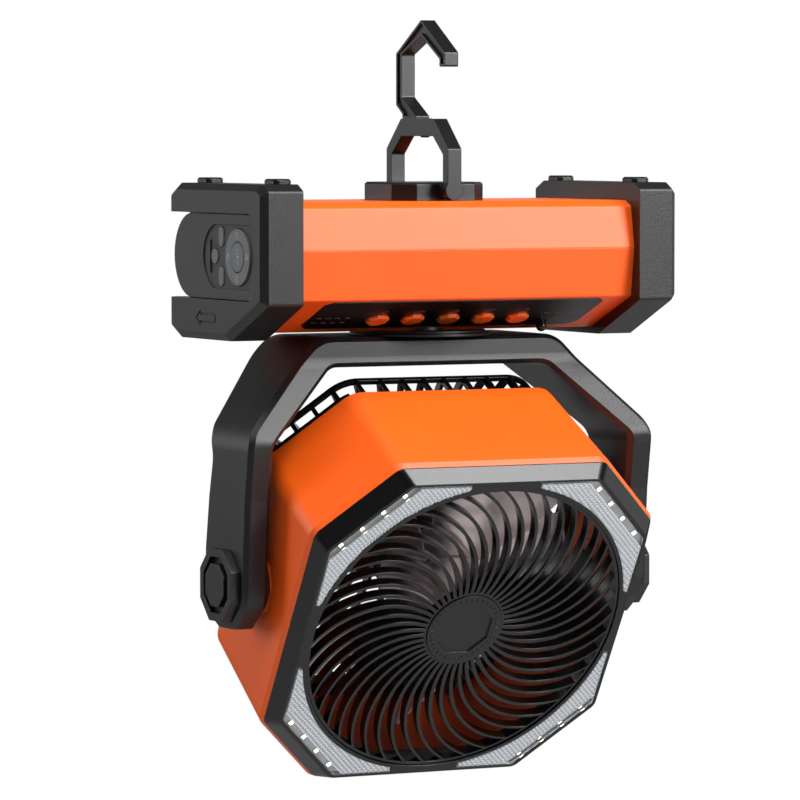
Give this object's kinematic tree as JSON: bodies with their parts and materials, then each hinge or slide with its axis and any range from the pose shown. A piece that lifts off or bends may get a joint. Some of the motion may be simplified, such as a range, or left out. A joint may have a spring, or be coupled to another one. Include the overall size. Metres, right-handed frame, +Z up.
{
  "type": "portable hanging fan",
  "caption": "Rechargeable hanging fan with a lamp: battery housing with a folding hook and a side remote, swivel yoke and tilting octagonal head.",
  "frame": {"origin": "seat under the peak of the hook, where the fan hangs", "axes": "+Z up, +X to the right seen from the control panel, -Y towards the user at the front"},
  "size_m": [0.2252, 0.1642, 0.3602],
  "materials": {
    "orange_plastic": "satin",
    "orange_buttons": "matte",
    "black_plastic": "fine grain",
    "grey_rubber": "matte",
    "black_rubber": "matte",
    "circuit_board": "white solder resist",
    "cells": "sleeved",
    "steel": "bright",
    "motor_metal": "plated",
    "clear_lens": "prismatic",
    "smoke_plastic": "translucent"
  },
  "bodies": {
    "base": {"housing_upper_shell": "orange_plastic", "housing_lower_shell": "orange_plastic", "end_cap_left": "black_plastic", "end_cap_right": "black_plastic", "foot_1": "black_rubber", "foot_2": "black_rubber", "foot_3": "black_rubber", "foot_4": "black_rubber", "control_panel": "black_plastic", "ir_receiver": "black_plastic", "control_board": "circuit_board", "battery_cells": "cells", "battery_holder": "black_plastic", "charging_board": "circuit_board", "swing_motor": "motor_metal", "housing_screws": "steel", "hook_plate": "black_plastic", "hook_pins": "steel", "hook_plate_screws": "steel", "swivel_bearing": "black_plastic"},
    "hook": {"hook": "black_plastic"},
    "lamp_button": {"button_lamp": "orange_buttons"},
    "brightness_button": {"button_brightness": "orange_buttons"},
    "fan_speed_button": {"button_fan_speed": "orange_buttons"},
    "swing_button": {"button_swing": "orange_buttons"},
    "timer_button": {"button_timer": "orange_buttons"},
    "remote": {"remote_front_case": "black_plastic", "remote_back_case": "black_plastic", "remote_board": "circuit_board", "remote_coin_cell": "cells"},
    "remote_ring": {"remote_ring_button": "grey_rubber"},
    "remote_off": {"remote_off_button": "grey_rubber"},
    "remote_key_1": {"remote_button_1": "grey_rubber"},
    "remote_key_2": {"remote_button_2": "grey_rubber"},
    "remote_key_3": {"remote_button_3": "grey_rubber"},
    "yoke": {"swivel_shaft": "black_plastic", "swivel_clip": "steel", "yoke_front_shell": "black_plastic", "yoke_rear_shell": "black_plastic", "pivot_cover_left": "black_plastic", "pivot_cover_right": "black_plastic"},
    "head": {"head_shroud": "orange_plastic", "front_bezel": "black_plastic", "lamp_lens_1": "clear_lens", "lamp_lens_2": "clear_lens", "lamp_lens_3": "clear_lens", "lamp_lens_4": "clear_lens", "led_board_1": "circuit_board", "led_board_2": "circuit_board", "led_board_3": "circuit_board", "led_board_4": "circuit_board", "front_grille": "black_plastic", "hub_cap": "black_plastic", "rear_cage": "black_plastic", "fan_motor": "motor_metal", "trunnion_left": "black_plastic", "trunnion_right": "black_plastic"},
    "fan": {"motor_shaft": "steel", "impeller": "smoke_plastic"}
  },
  "joints": [
    {"name": "lamp_press", "type": "slide", "parent": "base", "child": "lamp_button", "axis": [0, 0.3754, 0.9268], "range_m": [0, 0.0005], "stiffness_N_per_m": 600},
    {"name": "brightness_press", "type": "slide", "parent": "base", "child": "brightness_button", "axis": [0, 0.3754, 0.9268], "range_m": [0, 0.0005], "stiffness_N_per_m": 600},
    {"name": "fan_speed_press", "type": "slide", "parent": "base", "child": "fan_speed_button", "axis": [0, 0.3754, 0.9268], "range_m": [0, 0.0005], "stiffness_N_per_m": 600},
    {"name": "swing_press", "type": "slide", "parent": "base", "child": "swing_button", "axis": [0, 0.3754, 0.9268], "range_m": [0, 0.0005], "stiffness_N_per_m": 600},
    {"name": "timer_press", "type": "slide", "parent": "base", "child": "timer_button", "axis": [0, 0.3754, 0.9268], "range_m": [0, 0.0005], "stiffness_N_per_m": 600},
    {"name": "hook_fold", "type": "hinge", "parent": "base", "child": "hook", "pos_m": [0, 0.0042, -0.0732], "axis": [0, 1, 0], "range_deg": [-90, 90]},
    {"name": "remote_slide", "type": "slide", "parent": "base", "child": "remote", "axis": [0, 1, 0], "range_m": [0, 0.095]},
    {"name": "remote_ring_press", "type": "slide", "parent": "remote", "child": "remote_ring", "axis": [1, 0, 0], "range_m": [0, 0.0004], "stiffness_N_per_m": 600},
    {"name": "remote_off_press", "type": "slide", "parent": "remote", "child": "remote_off", "axis": [1, 0, 0], "range_m": [0, 0.0004], "stiffness_N_per_m": 600},
    {"name": "remote_key_1_press", "type": "slide", "parent": "remote", "child": "remote_key_1", "axis": [1, 0, 0], "range_m": [0, 0.0004], "stiffness_N_per_m": 600},
    {"name": "remote_key_2_press", "type": "slide", "parent": "remote", "child": "remote_key_2", "axis": [1, 0, 0], "range_m": [0, 0.0004], "stiffness_N_per_m": 600},
    {"name": "remote_key_3_press", "type": "slide", "parent": "remote", "child": "remote_key_3", "axis": [1, 0, 0], "range_m": [0, 0.0004], "stiffness_N_per_m": 600},
    {"name": "yoke_swivel", "type": "hinge", "parent": "base", "child": "yoke", "pos_m": [0, 0.0074, -0.1422], "axis": [0, 0, 1], "range_deg": [-90, 90]},
    {"name": "head_tilt", "type": "hinge", "parent": "yoke", "child": "head", "pos_m": [0, -0.0004, -0.2575], "axis": [1, 0, 0], "range_deg": [-121, 149]},
    {"name": "fan_spin", "type": "hinge", "parent": "head", "child": "fan", "pos_m": [0, -0.0004, -0.2575], "axis": [0, 0.8572, 0.515], "continuous": true}
  ]
}
